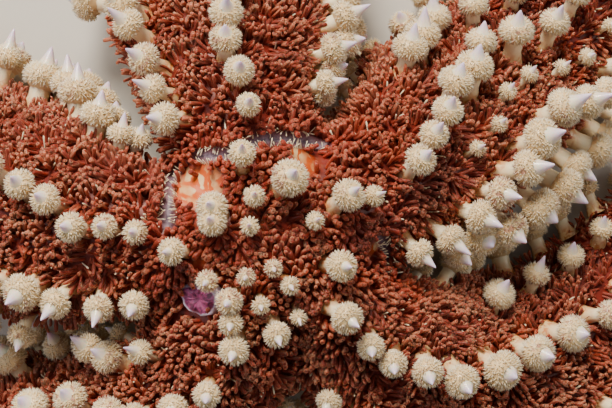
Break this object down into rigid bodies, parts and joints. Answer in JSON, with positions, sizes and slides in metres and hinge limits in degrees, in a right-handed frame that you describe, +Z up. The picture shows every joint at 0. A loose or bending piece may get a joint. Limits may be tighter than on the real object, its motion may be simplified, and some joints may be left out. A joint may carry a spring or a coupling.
{
  "type": "spiny starfish",
  "caption": "Life-size spiny starfish with a domed disc and tapering arms, humped up on its arms, with rows of wreathed spines.",
  "frame": {"origin": "on the floor under the middle of the whole animal's box", "axes": "+Z up from the floor, +Y towards the top of the picture and +X towards its right"},
  "size_m": [0.197, 0.1758, 0.0322],
  "materials": {
    "disc_skin": "wet red-brown skin under a carpet of soft gills",
    "arm_skin": "wet red-brown skin under a carpet of soft gills",
    "gills": "wet rust-brown gill fingers with paler tips",
    "pincer_wreath": "cream wreaths of tiny chalky pincers",
    "spine_point": "smooth pale lilac calcite points",
    "tube_feet": "translucent straw-coloured tube feet with pale suckers"
  },
  "bodies": {
    "root": {"disc": "disc_skin", "arm_a_base": "arm_skin", "arm_a_middle": "arm_skin", "arm_a_tip": "arm_skin", "arm_b_base": "arm_skin", "arm_b_middle": "arm_skin", "arm_b_tip": "arm_skin", "arm_c_base": "arm_skin", "arm_c_middle": "arm_skin", "arm_c_tip": "arm_skin", "arm_d_base": "arm_skin", "arm_d_middle": "arm_skin", "arm_d_tip": "arm_skin", "arm_e_base": "arm_skin", "arm_e_middle": "arm_skin", "arm_e_tip": "arm_skin"}
  },
  "joints": []
}
